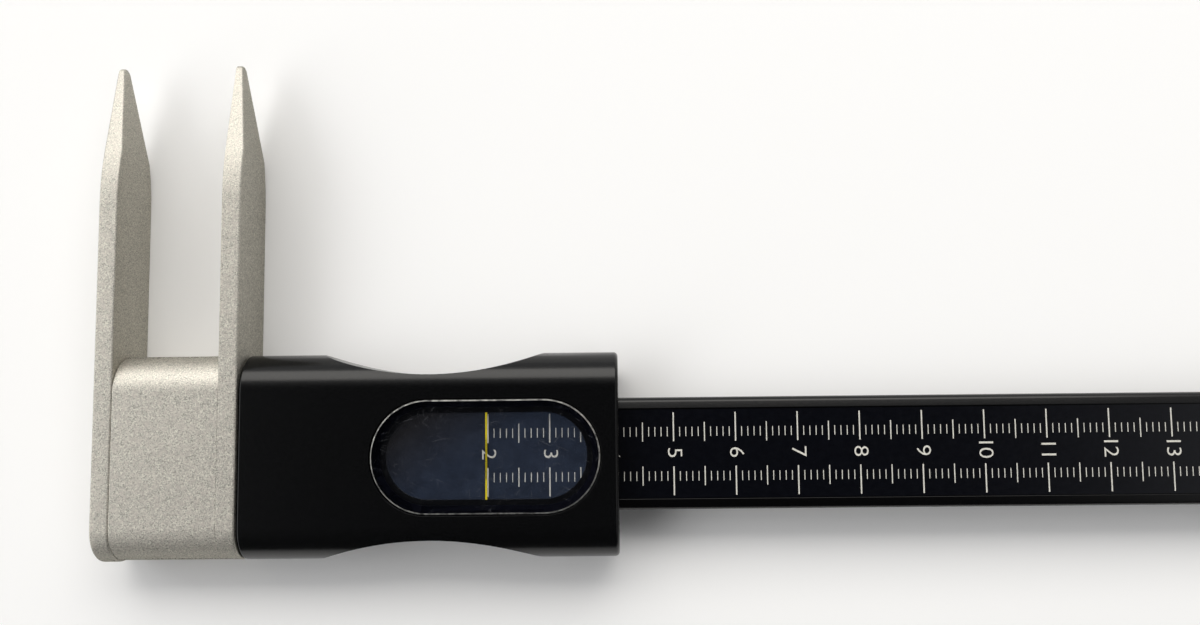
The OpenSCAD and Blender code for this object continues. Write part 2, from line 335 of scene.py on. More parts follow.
def add_piece(
    name: str, bm: BMesh, body: Body, replaces: Sequence[str],
    materials: Sequence[Material], cutters: Sequence[BMesh] = (), edge: float = 0.0,
    sharp: float = 32.0,
) -> None:
    """Makes a piece of a mesh, cuts it, shades it, dresses it and hangs it on its body.

    Args:
        name: Name of the piece.
        bm: Mesh in millimetres, which is freed.
        body: Body that it rides on.
        replaces: Names of the nodes that it stands for.
        materials: Materials in the order of the mesh's indices.
        cutters: Meshes to cut out of it, which are freed.
        edge: Width of a live bevel on its sharp edges, in millimetres.
        sharp: Least angle of a sharp edge, in degrees.
    """
    piece = new_object(name, bm)
    if cutters:
        cut(piece, cutters)
    mesh = piece.data
    for material in materials:
        mesh.materials.append(material)
    mesh.shade_smooth()
    mesh.set_sharp_from_angle(angle=math.radians(sharp))
    if edge:
        bevel = piece.modifiers.new("edge", "BEVEL")
        bevel.width = edge * MM
        bevel.segments = EDGE_STEPS
        bevel.limit_method = "ANGLE"
        bevel.angle_limit = math.radians(sharp)
        bevel.miter_outer = "MITER_ARC"
    weighted = piece.modifiers.new("normals", "WEIGHTED_NORMAL")
    weighted.mode = "FACE_AREA"
    weighted.weight = NORMAL_WEIGHT
    weighted.keep_sharp = True
    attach(piece, body.value)
    if replaces:
        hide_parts(*replaces)
    LOG.info("%s: %d faces on %s", piece.name, len(mesh.polygons), body.value)


class Nodes:
    """A shader node tree with short ways to add patterns to it."""

    def __init__(self, tree: NodeTree, coordinates: str) -> None:
        """Starts with the coordinates that the patterns use.

        Args:
            tree: Node tree to fill.
            coordinates: Output of the Texture Coordinate node.
        """
        self.tree = tree
        self.place = self.add("ShaderNodeTexCoord").outputs[coordinates]

    def add(self, kind: str, **values: object) -> Node:
        """Adds a node.

        Args:
            kind: Type of the node.
            values: Properties of the node.

        Returns:
            The node.
        """
        node = self.tree.nodes.new(kind)
        for key, value in values.items():
            setattr(node, key, value)
        return node

    def join(self, source: Socket, target: Socket) -> None:
        """Links two sockets."""
        self.tree.links.new(source, target)

    def feed(self, target: Socket, value: Union[Socket, float, Colour]) -> None:
        """Joins or sets a socket.

        Args:
            target: Socket to fill.
            value: Another socket, a number or a colour.
        """
        if isinstance(value, Socket):
            self.join(value, target)
        elif isinstance(value, tuple):
            target.default_value = (*value, 1.0)
        else:
            target.default_value = value

    def math(self, operation: str, first: Socket, second: Union[Socket, float]) -> Socket:
        """Combines a socket with another socket or a number.

        Args:
            operation: Name of the operation.
            first: First value.
            second: Second value, a socket or a number.

        Returns:
            The result.
        """
        node = self.add("ShaderNodeMath", operation=operation)
        self.join(first, node.inputs[0])
        self.feed(node.inputs[1], second)
        return node.outputs[0]

    def ramp(self, value: Socket, span: Span, result: Span = UNIT) -> Socket:
        """Maps a span of values to another, with clamped ends.

        Args:
            value: Value to map.
            span: Values that give the two ends of the result.
            result: The two ends of the result.

        Returns:
            The mapped value.
        """
        node = self.add("ShaderNodeMapRange", clamp=True)
        for key, number in zip(("From Min", "From Max", "To Min", "To Max"), (*span, *result)):
            node.inputs[key].default_value = number
        self.join(value, node.inputs["Value"])
        return node.outputs["Result"]

    def mix(
        self, factor: Socket, first: Union[Socket, Colour], second: Union[Socket, Colour]
    ) -> Socket:
        """Mixes two colours.

        Args:
            factor: 0 gives the first colour and 1 the second.
            first: Colour or socket.
            second: Colour or socket.

        Returns:
            The mixed colour.
        """
        node = self.add("ShaderNodeMix", data_type="RGBA")
        self.join(factor, node.inputs["Factor"])
        for name, value in (("A_Color", first), ("B_Color", second)):
            self.feed(next(s for s in node.inputs if s.identifier == name), value)
        return next(s for s in node.outputs if s.identifier == "Result_Color")

    def axes(self, vector: Socket) -> tuple[Socket, Socket, Socket]:
        """Splits a vector into its three parts.

        Args:
            vector: Output that carries the vector.

        Returns:
            The outputs of its X, Y and Z.
        """
        node = self.add("ShaderNodeSeparateXYZ")
        self.join(vector, node.inputs[0])
        return node.outputs["X"], node.outputs["Y"], node.outputs["Z"]


@dataclass(frozen=True)
class Pattern:
    """Noise with features of a given size, and the span of its values that shows."""

    size_mm: float
    detail: float = 2.0
    rough: float = 0.5
    span: Span = UNIT


@dataclass(frozen=True)
class Specks:
    """Sparse round specks: pitch of their places, radius, and share of the places in use."""

    pitch_mm: float
    radius_mm: float
    share: float
    core: float = 0.6
    sure: float = 0.9


class Shader(Nodes):
    """A node material with one Principled shader."""

    def __init__(self, name: str) -> None:
        """Starts the material.

        Args:
            name: Name of the material.
        """
        self.material = bpy.data.materials.new(name)
        self.material.use_nodes = True
        super().__init__(self.material.node_tree, "Object")
        self.surface = next(n for n in self.tree.nodes if n.type == "BSDF_PRINCIPLED")

    def set(self, **values: object) -> None:
        """Sets constant sockets of the shader; underscores stand for spaces.

        Args:
            values: Socket names and values.
        """
        for key, value in values.items():
            self.surface.inputs[key.replace("_", " ")].default_value = value

    def wire(self, **sockets: Socket) -> None:
        """Joins patterns to sockets of the shader; underscores stand for spaces.

        Args:
            sockets: Socket names and the patterns that feed them.
        """
        for key, socket in sockets.items():
            self.join(socket, self.surface.inputs[key.replace("_", " ")])

    def stretched(self, along_y: float, turn: float = 0.0) -> Socket:
        """Object coordinates that stretch a pattern along Y, turned round Z.

        Args:
            along_y: How many times longer the pattern gets.
            turn: Turn in degrees.

        Returns:
            The coordinates.
        """
        mapping = self.add("ShaderNodeMapping", vector_type="TEXTURE")
        mapping.inputs["Scale"].default_value = (1.0, along_y, 1.0)
        mapping.inputs["Rotation"].default_value = (0.0, 0.0, math.radians(turn))
        self.join(self.place, mapping.inputs["Vector"])
        return mapping.outputs["Vector"]

    def noise(self, pattern: Pattern, place: Optional[Socket] = None) -> Socket:
        """Adds a noise.

        Args:
            pattern: Its size and its octaves.
            place: Coordinates, if not the plain object ones.

        Returns:
            The noise, from 0 to 1.
        """
        node = self.add("ShaderNodeTexNoise")
        node.inputs["Scale"].default_value = 1.0 / (pattern.size_mm * MM)
        node.inputs["Detail"].default_value = pattern.detail
        node.inputs["Roughness"].default_value = pattern.rough
        self.join(place or self.place, node.inputs["Vector"])
        return node.outputs["Fac"]

    def spread(self, pattern: Pattern, result: Span = UNIT) -> Socket:
        """Noise whose span is spread over a range of results."""
        return self.ramp(self.noise(pattern), pattern.span, result)

    def specks(self, specks: Specks) -> Socket:
        """Adds sparse round specks.

        Args:
            specks: Their sizes.

        Returns:
            A mask that is 1 on a speck.
        """
        cells = self.add("ShaderNodeTexVoronoi", feature="F1")
        cells.inputs["Scale"].default_value = 1.0 / (specks.pitch_mm * MM)
        self.join(self.place, cells.inputs["Vector"])
        radius = specks.radius_mm / specks.pitch_mm
        near = self.ramp(cells.outputs["Distance"], (radius, radius * specks.core))
        parts = self.add("ShaderNodeSeparateColor")
        self.join(cells.outputs["Color"], parts.inputs["Color"])
        chosen = self.ramp(parts.outputs["Red"], (specks.share, specks.share * specks.sure))
        return self.math("MULTIPLY", near, chosen)

    def bump(self, height: Socket, depth_mm: float, strength: float = 1.0) -> None:
        """Gives the surface a fine relief.

        Args:
            height: Height from 0 to 1.
            depth_mm: Depth of the relief, in millimetres.
            strength: Strength of the effect.
        """
        node = self.add("ShaderNodeBump")
        node.inputs["Distance"].default_value = depth_mm * MM
        node.inputs["Strength"].default_value = strength
        self.join(height, node.inputs["Height"])
        self.wire(Normal=node.outputs["Normal"])


@dataclass(frozen=True)
class BlastedSilver:
    """Bead-blasted, clear anodised aluminium with a fine grain and a faint rose mottle."""

    dark: Colour = (0.31, 0.302, 0.272)
    light: Colour = (0.75, 0.728, 0.648)
    rose: Colour = (0.56, 0.515, 0.47)
    rim: Colour = (0.0, 0.02, 0.0)
    grain: Pattern = Pattern(0.21, 2.0, 0.7, (0.38, 0.62))
    mottle: Pattern = Pattern(0.5, 2.0, 0.5, (0.4, 0.66))
    rose_share: Span = (0.0, 0.6)
    roughness: Span = (0.48, 0.66)
    relief_mm: float = 0.015

    def material(self) -> Material:
        """Builds the node material.

        Returns:
            The material.
        """
        shader = Shader("blasted_silver")
        shader.set(Metallic=1.0, Specular_Tint=(*self.rim, 1.0))
        grain = shader.noise(self.grain)
        tone = shader.mix(shader.ramp(grain, self.grain.span), self.dark, self.light)
        shader.wire(
            Base_Color=shader.mix(shader.spread(self.mottle, self.rose_share), tone, self.rose),
            Roughness=shader.ramp(grain, self.grain.span, self.roughness),
        )
        shader.bump(grain, self.relief_mm)
        return shader.material


@dataclass(frozen=True)
class Grained:
    """Surface whose colour, gloss and relief follow one grain, unless gloss or relief is given."""

    name: str
    base: Colour
    worn: Colour
    roughness: Span
    grain: Pattern
    stretch: float = 1.0
    gloss: Optional[Pattern] = None
    relief: Optional[Pattern] = None
    relief_mm: float = 0.003
    relief_share: float = 0.5
    metallic: float = 0.0
    specular: float = 0.5
    ior: float = 1.5
    specks: Optional[Specks] = None
    dust: Colour = (0.1, 0.1, 0.1)

    def material(self) -> Material:
        """Builds the node material.

        Returns:
            The material.
        """
        shader = Shader(self.name)
        shader.set(Metallic=self.metallic, Specular_IOR_Level=self.specular, IOR=self.ior)
        grain = shader.noise(self.grain, shader.stretched(self.stretch))
        tone = shader.ramp(grain, self.grain.span)
        colour = shader.mix(tone, self.base, self.worn)
        if self.specks:
            colour = shader.mix(shader.specks(self.specks), colour, self.dust)
        gloss = shader.spread(self.gloss) if self.gloss else tone
        shader.wire(Base_Color=colour, Roughness=shader.ramp(gloss, UNIT, self.roughness))
        if self.relief_mm:
            height = shader.noise(self.relief) if self.relief else grain
            shader.bump(height, self.relief_mm, self.relief_share)
        return shader.material


@dataclass(frozen=True)
class SatinBlack(Grained):
    """Black anodised aluminium with a fine blasted grain and a little dust."""

    roughness: Span = (0.18, 0.24)
    grain: Pattern = Pattern(0.24, 3.0, 0.6, (0.35, 0.7))
    gloss: Optional[Pattern] = Pattern(0.35, 3.0, 0.6, (0.3, 0.7))
    relief_mm: float = 0.0045
    relief_share: float = 0.8
    specular: float = 0.31
    specks: Optional[Specks] = Specks(2.6, 0.07, 0.03)
    dust: Colour = (0.12, 0.115, 0.11)


@dataclass(frozen=True)
class PrintedFilm(Grained):
    """Matt blue-black printed strip, a little faded and scuffed."""

    roughness: Span = (0.2, 0.26)
    grain: Pattern = Pattern(1.2, 4.0, 0.6, (0.35, 0.7))
    gloss: Optional[Pattern] = Pattern(0.8, 3.0, 0.5, (0.3, 0.7))
    relief: Optional[Pattern] = Pattern(0.4)
    relief_mm: float = 0.002
    relief_share: float = 0.3
    specular: float = 0.33
    specks: Optional[Specks] = Specks(3.4, 0.06, 0.05)


@dataclass(frozen=True)
class Ink(Grained):
    """Printed ink with slightly uneven cover and no relief of its own."""

    roughness: Span = (0.6, 0.5)
    grain: Pattern = Pattern(0.35, 3.0, 0.6, (0.38, 0.62))
    relief_mm: float = 0.0
    specular: float = 0.3


@dataclass(frozen=True)
class FrostedEdge(Grained):
    """Machined and scuffed edge of the acrylic lens."""

    roughness: Span = (0.25, 0.5)
    grain: Pattern = Pattern(0.9, 5.0, 0.7, (0.38, 0.62))
    relief: Optional[Pattern] = Pattern(0.25, 3.0)
    relief_mm: float = 0.015
    relief_share: float = 0.6
    ior: float = 1.49


@dataclass(frozen=True)
class TurnedMetal(Grained):
    """Screw and spring metal with fine machining marks."""

    grain: Pattern = Pattern(0.15, 3.0, 0.6, (0.35, 0.65))
    stretch: float = 9.0
    relief_mm: float = 0.004
    metallic: float = 1.0


@dataclass(frozen=True)
class Moulded(Grained):
    """Plain moulded plastic or adhesive film."""

    roughness: Span = (0.45, 0.6)
    grain: Pattern = Pattern(0.8, 3.0, 0.5, (0.35, 0.65))
    relief: Optional[Pattern] = Pattern(0.2)
    specular: float = 0.35


@dataclass(frozen=True)
class ClearAcrylic:
    """Clear acrylic with hairline scratches and specks that catch the light."""

    tint: Colour = (0.02, 0.025, 0.05)
    scratch: Colour = (0.3, 0.31, 0.33)
    cover: Span = (0.012, 0.36)
    ior: float = 1.49
    roughness: float = 0.15
    turns: tuple[float, ...] = (3.0, -38.0, 64.0, -77.0)
    hairline: Pattern = Pattern(0.06, 1.0, 0.4, (0.735, 0.785))
    hairline_length: float = 45.0
    widening: float = 0.17
    patch: Pattern = Pattern(4.0, 2.0, 0.5, (0.42, 0.56))
    specks: Specks = Specks(1.0, 0.05, 0.16)

    def scratches(self, shader: Shader) -> Socket:
        """Draws straight hairlines in several directions, wider from one to the next.

        Args:
            shader: Shader to draw with.

        Returns:
            A mask that is 1 on a scratch.
        """
        marks = None
        for index, turn in enumerate(self.turns):
            size = self.hairline.size_mm * (1.0 + self.widening * index)
            place = shader.stretched(self.hairline_length, turn)
            noise = shader.noise(replace(self.hairline, size_mm=size), place)
            line = shader.ramp(noise, self.hairline.span)
            marks = line if marks is None else shader.math("MAXIMUM", marks, line)
        return marks

    def material(self) -> Material:
        """Builds the node material.

        Returns:
            The material.
        """
        shader = Shader("clear_acrylic")
        shader.set(Metallic=0.0, IOR=self.ior, Roughness=self.roughness)
        lines = shader.math("MULTIPLY", self.scratches(shader), shader.spread(self.patch))
        marks = shader.math("MAXIMUM", lines, shader.specks(self.specks))
        shader.wire(
            Base_Color=shader.mix(marks, self.tint, self.scratch),
            Alpha=shader.ramp(marks, UNIT, self.cover),
        )
        return shader.material


@dataclass(frozen=True)
class HazeFilm:
    """Thin bluish, mostly see-through film on the underside of the lens, greyer towards its upper
    left.
    """

    grey: Colour = (0.105, 0.105, 0.115)
    blue: Colour = (0.135, 0.185, 0.305)
    cover: Span = (0.045, 0.075)
    blend_mm: Span = (44.0, 60.0)
    lean: float = -1.5
    cloud: Pattern = Pattern(2.5, 3.0, 0.6, (0.3, 0.7))
    roughness: float = 0.8

    def material(self) -> Material:
        """Builds the node material.

        Returns:
            The material.
        """
        shader = Shader("bluish_window_film")
        shader.set(Metallic=0.0, Specular_IOR_Level=0.0, Roughness=self.roughness)
        along, up, _ = shader.axes(shader.place)
        slant = shader.math("ADD", shader.math("MULTIPLY", up, self.lean), along)
        far = shader.ramp(slant, (self.blend_mm[0] * MM, self.blend_mm[1] * MM))
        shader.wire(
            Base_Color=shader.mix(far, self.grey, self.blue),
            Alpha=shader.spread(self.cloud, self.cover),
        )
        return shader.material


class Finishes:
    """Materials that the sub-assemblies share."""

    def __init__(self) -> None:
        """Builds every material once."""
        self.silver = BlastedSilver().material()
        self.housing = SatinBlack(
            "housing_black", (0.0002, 0.0003, 0.0004), (0.0042, 0.0044, 0.005)
        ).material()
        self.beam = SatinBlack(
            "beam_black", (0.0007, 0.0007, 0.0009), (0.0018, 0.0018, 0.0022),
            grain=Pattern(0.16, 3.0, 0.6, (0.35, 0.7)),
        ).material()
        self.film = PrintedFilm(
            "printed_film", (0.0009, 0.0011, 0.0026), (0.0018, 0.0022, 0.0042)
        ).material()
        self.white_ink = Ink("white_ink", (0.56, 0.55, 0.5), (0.7, 0.68, 0.62)).material()
        self.yellow_ink = Ink("yellow_ink", (0.5, 0.4, 0.002), (0.6, 0.48, 0.002)).material()
        self.acrylic = ClearAcrylic().material()
        self.haze = HazeFilm().material()
        self.frosted = FrostedEdge(
            "frosted_edge", (0.09, 0.09, 0.092), (0.5, 0.5, 0.47)
        ).material()
        self.stainless = TurnedMetal(
            "stainless", (0.36, 0.36, 0.37), (0.5, 0.5, 0.5), (0.25, 0.35)
        ).material()
        self.blackened = TurnedMetal(
            "blackened_steel", (0.02, 0.02, 0.021), (0.045, 0.045, 0.045), (0.35, 0.5),
            metallic=0.6,
        ).material()
        self.spring = TurnedMetal(
            "spring_strip", (0.28, 0.27, 0.25), (0.4, 0.38, 0.35), (0.22, 0.32)
        ).material()
        self.glide = Moulded(
            "black_glide", (0.008, 0.008, 0.008), (0.014, 0.014, 0.014)
        ).material()
        self.adhesive = Moulded(
            "adhesive", (0.0009, 0.0011, 0.003), (0.0014, 0.0017, 0.0045), specular=0.05
        ).material()


@dataclass
class Assembly:
    """Sub-assembly that is dressed in the shared finishes."""

    finishes: Finishes


@dataclass
class CountersunkHoles:
    """Holes for the two countersunk screws of a blade or of the cap."""

    shank_d: float = 2.5
    head_d: float = 4.7
    sink: float = 0.1
    depth: float = 10.5

    def cutters(self, x: float, direction: int, places: Sequence[float]) -> list[BMesh]:
        """Makes the cutters.

        Args:
            x: Place of the face that the heads are in.
            direction: 1 when the screws point to +X and -1 when they point to -X.
            places: Y of each screw.

        Returns:
            Closed meshes, in millimetres.
        """
        made = []
        cone = (self.head_d - self.shank_d) / 2
        for y in places:
            mouth = (x - direction * PAST_FACE, y, 0.0)
            top = (x + direction * self.sink, y, 0.0)
            neck = (x + direction * (self.sink + cone), y, 0.0)
            end = (x + direction * self.depth, y, 0.0)
            made.append(round_bar(mouth, end, self.shank_d, self.shank_d))
            made.append(round_bar(mouth, top, self.head_d, self.head_d))
            made.append(round_bar(top, neck, self.head_d, self.shank_d))
        return made


@dataclass
class BladePair(Assembly):
    """The two plain blades: the fixed one on the head block and the moving one on the slider."""

    height: float = 33.0
    thickness: float = 11.5
    width: float = 3.0
    reach: float = 65.7
    taper_len: float = 24.0
    taper_angle: float = 14.0
    taper_r: float = 37.0
    bevel_len: float = 15.5
    tip_width: float = 1.0
    drop: float = 0.25
    fixed_x: float = 0.0
    moving_x: float = 20.0
    fixed_edges: tuple[float, float] = (0.3, 0.3)
    moving_edges: tuple[float, float] = (0.06, 0.3)
    opening: tuple[float, float] = (18.6, 5.6)
    screw_y: float = 12.7
    taper_steps: int = 14
    foot_steps: int = 32
    edge_steps: int = 3
    holes: CountersunkHoles = field(default_factory=CountersunkHoles)

    def shape(self, x: float, drop: float, edges: tuple[float, float]) -> BMesh:
        """Builds a blade with broken edges and a bevelled tip.

        Args:
            x: Place of its outer face.
            drop: How far the whole blade sits lower.
            edges: Radius of the edges of its outer face and of the others.

        Returns:
            The closed mesh, in millimetres.
        """
        half = self.thickness / 2
        foot = -(self.height - self.thickness) / 2
        start = self.reach - self.taper_len
        angle = math.radians(self.taper_angle)
        turn_u = start + self.taper_r * math.sin(angle)
        turn_v = half - self.taper_r * (1 - math.cos(angle))
        tip_v = turn_v - (self.reach - turn_u) * math.tan(angle)
        tip_r = tip_v * math.cos(angle) / (1 - math.sin(angle))
        tip_u = self.reach - tip_r
        side = tip_r * math.sin(angle)
        outline = Outline(foot, -half).line(start, -half)
        outline.arc(start, self.taper_r - half, self.taper_angle, self.taper_steps)
        outline.line(tip_u + side, -tip_r * math.cos(angle))
        outline.arc(tip_u, 0.0, 180.0 - 2 * self.taper_angle, self.taper_steps)
        outline.line(turn_u, turn_v)
        outline.arc(start, half - self.taper_r, self.taper_angle, self.taper_steps)
        outline.line(foot, half).arc(foot, 0.0, 180.0, self.foot_steps)
        bm = outline.solid(Plane.ALONG_X, x, self.width)
        lean = math.atan2(self.width - self.tip_width, self.bevel_len)
        cutaway = bmesh.ops.bisect_plane(
            bm, geom=bm.verts[:] + bm.edges[:] + bm.faces[:], dist=WELD_MM,
            plane_co=(x + self.width, self.reach - self.bevel_len, 0.0),
            plane_no=(math.cos(lean), math.sin(lean), 0.0), clear_outer=True, clear_inner=False,
        )
        rim = [g for g in cutaway["geom_cut"] if isinstance(g, BMEdge)]
        bmesh.ops.edgeloop_fill(bm, edges=rim)
        bmesh.ops.recalc_face_normals(bm, faces=bm.faces[:])
        round_edges(bm, edges[0], self.edge_steps, at_plane(0, x))
        round_edges(bm, edges[1], self.edge_steps, is_corner)
        bmesh.ops.translate(bm, verts=bm.verts[:], vec=(0.0, -drop, 0.0))
        return bm

    def build(self) -> None:
        """Builds both blades."""
        places = (-self.screw_y, self.screw_y)
        silver = [self.finishes.silver]
        add_piece(
            "fixed_blade_blasted", self.shape(self.fixed_x, self.drop, self.fixed_edges),
            Body.BEAM, ["fixed_blade"], silver,
            self.holes.cutters(self.fixed_x, 1, places),
        )
        far = self.moving_x + self.width + PAST_FACE
        hole = passage(self.moving_x - PAST_FACE, far, self.opening)
        add_piece(
            "moving_blade_blasted", self.shape(self.moving_x, 0.0, self.moving_edges),
            Body.SLIDER, ["moving_blade"], silver,
            [hole] + self.holes.cutters(self.moving_x, 1, places),
        )


@dataclass
class HeadBlock(Assembly):
    """Silver block between the fixed blade and the start of the scale."""

    x: float = 3.0
    length: float = 17.0
    height: float = 33.0
    thickness: float = 11.5
    edges: tuple[float, float] = (0.2, 0.06)
    edge_steps: tuple[int, int] = (3, 2)
    slot: tuple[float, float] = (18.2, 5.2)
    dowel_d: float = 3.0
    dowel_pitch: float = 11.0
    clamp_pitch: float = 10.0

    def build(self) -> None:
        """Builds the block with its slot and the holes in its back."""
        end = self.x + self.length
        bm = full_round(self.height, self.thickness).solid(Plane.ALONG_X, self.x, self.length)
        round_edges(bm, self.edges[0], self.edge_steps[0], at_plane(0, self.x))
        round_edges(bm, self.edges[1], self.edge_steps[1], at_plane(0, end))
        middle = self.x + self.length / 2
        cutters = [passage(self.x - PAST_FACE, end + PAST_FACE, self.slot)]
        back = -self.thickness / 2 - PAST_FACE
        for x, y in (
            (middle, -self.dowel_pitch / 2), (middle, self.dowel_pitch / 2),
            (middle - self.clamp_pitch / 2, 0.0), (middle + self.clamp_pitch / 2, 0.0),
        ):
            cutters.append(round_bar((x, y, back), (x, y, 0.0), self.dowel_d, self.dowel_d))
        add_piece(
            "head_block_blasted", bm, Body.BEAM, ["head_block"],
            [self.finishes.silver], cutters,
        )


@dataclass
class ScaleBeam(Assembly):
    """Black beam with a recess for the scale between two rims that fall away outwards."""

    start: float = 3.0
    end: float = 671.8
    height: float = 18.0
    thickness: float = 5.0
    edge_r: float = 1.6
    recess: tuple[float, float] = (14.4, 0.35)
    rim_flat: float = 0.15
    rim_lean: float = 15.0
    rim_r: float = 1.0
    edge_steps: int = 8
    live_edge: float = 0.05
    sharp: float = 50.0

    def build(self) -> None:
        """Builds the beam."""
        side, top = self.height / 2, self.thickness / 2
        u, v = side - self.edge_r, top - self.edge_r
        half, floor = self.recess[0] / 2, top - self.recess[1]
        steps = self.edge_steps
        crest = half + self.rim_flat
        lean = math.radians(self.rim_lean)
        side_u = side - self.rim_r
        foot_u = side_u + self.rim_r * math.sin(lean)
        foot_v = top - (foot_u - crest) * math.tan(lean)
        side_v = foot_v - self.rim_r * math.cos(lean)
        outline = Outline(-u, -top).line(u, -top).arc(u, -v, 90.0, steps).line(side, side_v)
        outline.arc(side_u, side_v, 90.0 - self.rim_lean, steps).line(crest, top).line(half, top)
        outline.line(half, floor).line(-half, floor).line(-half, top).line(-crest, top)
        outline.line(-foot_u, foot_v).arc(-side_u, side_v, 90.0 - self.rim_lean, steps)
        outline.line(-side, -v).arc(-u, -v, 90.0, steps)
        bm = outline.solid(Plane.ALONG_X, self.start, self.end - self.start)
        add_piece(
            "beam_anodised", bm, Body.BEAM, ["beam"], [self.finishes.beam],
            edge=self.live_edge, sharp=self.sharp,
        )


@dataclass
class ScalePrint(Assembly):
    """Graduations and numerals of the centimetre scale."""

    first_cm: int = 2
    last_cm: int = 60
    steps_in_cm: int = 10
    first_x: float = 62.68
    middle_y: float = -0.06
    surface_z: float = 2.35
    ink_t: float = 0.012
    sink: float = 0.01
    inner_y: float = 2.0
    short_inner_y: float = 2.8
    long_y: float = 6.62
    mid_y: float = 5.05
    short_y: float = 4.3
    long_w: float = 0.21
    mid_w: float = 0.17
    fine_w: float = 0.125
    glyph_h: float = 2.3
    glyph_stretch: float = 1.14
    glyph_shift: float = 0.2
    glyph_rise: float = 0.17
    glyph_turn: float = -90.0
    glyph_t: float = 0.01
    glyph_thin: float = -0.01
    glyph_pitch: float = 0.86
    glyph_steps: int = 3

    def ink(self) -> tuple[float, float]:
        """Middle height and thickness of the ink, which reaches a little into the strip."""
        return self.surface_z + (self.ink_t - self.sink) / 2, self.ink_t + self.sink

    def mark(self, bm: BMesh, x: float, near: float, far: float, width: float) -> None:
        """Adds the same mark to both rows.

        Args:
            bm: Mesh to add to.
            x: Place of the mark.
            near: Distance of its inner end from the middle.
            far: Distance of its outer end from the middle.
            width: Width of the mark.
        """
        z, thick = self.ink()
        size = Matrix.Diagonal((width, far - near, thick, 1.0))
        for side in (-1, 1):
            y = self.middle_y + side * (near + far) / 2
            bmesh.ops.create_cube(bm, size=1.0, matrix=Matrix.Translation((x, y, z)) @ size)

    def build_marks(self) -> None:
        """Builds both rows of marks."""
        bm = bmesh.new()
        for step in range(self.steps_in_cm * (self.last_cm - self.first_cm) + 1):
            x = self.first_x + step
            if step % self.steps_in_cm == 0:
                self.mark(bm, x, self.inner_y, self.long_y, self.long_w)
            elif step % (self.steps_in_cm // 2) == 0:
                self.mark(bm, x, self.inner_y, self.mid_y, self.mid_w)
            else:
                self.mark(bm, x, self.short_inner_y, self.short_y, self.fine_w)
        add_piece("scale_marks", bm, Body.BEAM, [], [self.finishes.white_ink])

    def glyphs(self, text: str) -> Mesh:
        """Makes a numeral as a flat solid.

        Args:
            text: The numeral.

        Returns:
            Its mesh, at the font's own size.
        """
        curve = bpy.data.curves.new(f"numeral_{text}", "FONT")
        curve.body = text
        curve.size = 1.0
        curve.extrude = self.glyph_t
        curve.offset = self.glyph_thin
        curve.space_character = self.glyph_pitch
        curve.resolution_u = self.glyph_steps
        holder = bpy.data.objects.new(curve.name, curve)
        bpy.context.scene.collection.objects.link(holder)
        mesh = evaluated(holder)
        bpy.data.objects.remove(holder)
        bpy.data.curves.remove(curve)
        return mesh

    def build_numerals(self) -> None:
        """Builds the numerals, whose tops point along the beam."""
        bm = bmesh.new()
        z, thick = self.ink()
        turned = Matrix.Rotation(math.radians(self.glyph_turn), 4, "Z")
        for number in range(self.first_cm, self.last_cm + 1):
            mesh = self.glyphs(str(number))
            low = [min(vert.co[i] for vert in mesh.vertices) for i in range(3)]
            high = [max(vert.co[i] for vert in mesh.vertices) for i in range(3)]
            scale = self.glyph_h / (high[1] - low[1])
            size = Matrix.Diagonal(
                (scale * self.glyph_stretch, scale, thick / (high[2] - low[2]), 1.0)
            )
            centre = Matrix.Translation([-(a + b) / 2 for a, b in zip(low, high)])
            x = self.first_x + self.steps_in_cm * (number - self.first_cm) + self.glyph_shift
            place = Matrix.Translation((x, self.middle_y + self.glyph_rise, z))
            mesh.transform(place @ turned @ size @ centre)
            bm.from_mesh(mesh)
            bpy.data.meshes.remove(mesh)
        bmesh.ops.remove_doubles(bm, verts=bm.verts[:], dist=WELD_MM)
        add_piece("scale_numerals", bm, Body.BEAM, [], [self.finishes.white_ink])

    def build(self) -> None:
        """Builds the marks and the numerals."""
        self.build_marks()
        self.build_numerals()


